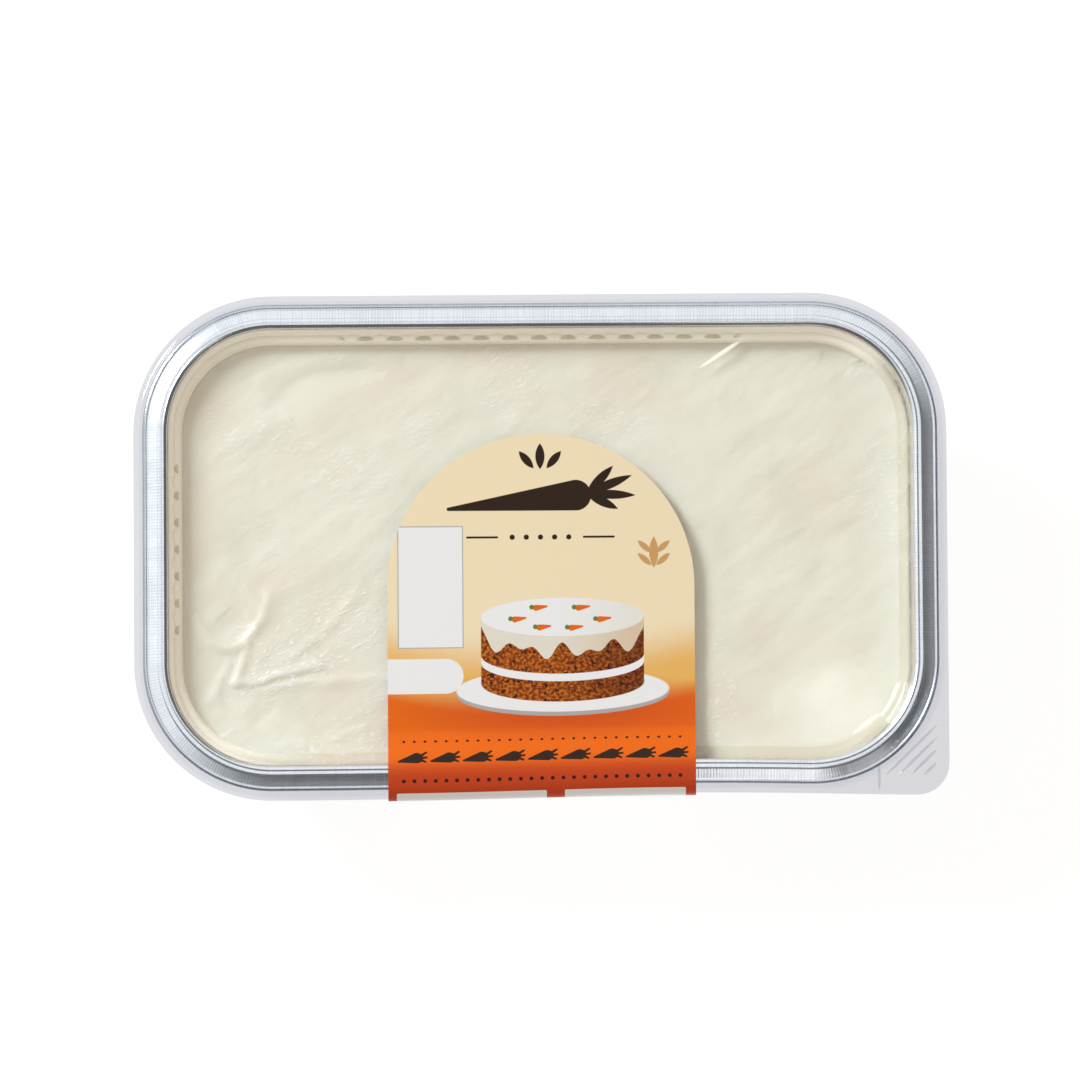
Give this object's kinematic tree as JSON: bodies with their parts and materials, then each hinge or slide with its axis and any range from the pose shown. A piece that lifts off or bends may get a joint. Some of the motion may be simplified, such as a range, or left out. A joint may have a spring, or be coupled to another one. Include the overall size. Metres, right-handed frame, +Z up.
{
  "type": "iced carrot cake in a lidded foil tray",
  "caption": "Iced carrot cake in a smooth-walled foil tray, shut under a clear press-fit lid with a pull tab, and a paper label that wraps over one long edge.",
  "frame": {"origin": "middle of the tray's underside, on the surface it stands on", "axes": "+X along the pack's length, -Y towards the long edge that the label wraps over, +Z up through the lid"},
  "size_m": [0.23, 0.1449, 0.0466],
  "materials": {
    "foil": "bright rolled foil, finely creased across the rim",
    "sponge": "open brown crumb, matte",
    "icing": "ivory cream-cheese icing, soft satin, spread with a spatula",
    "clear_lid": "clear thermoformed sheet, glossy",
    "label_paper": null
  },
  "bodies": {
    "root": {"foil_tray": "foil", "carrot_cake": "sponge", "icing": "icing", "lid": "clear_lid", "label": "label_paper"}
  },
  "joints": []
}
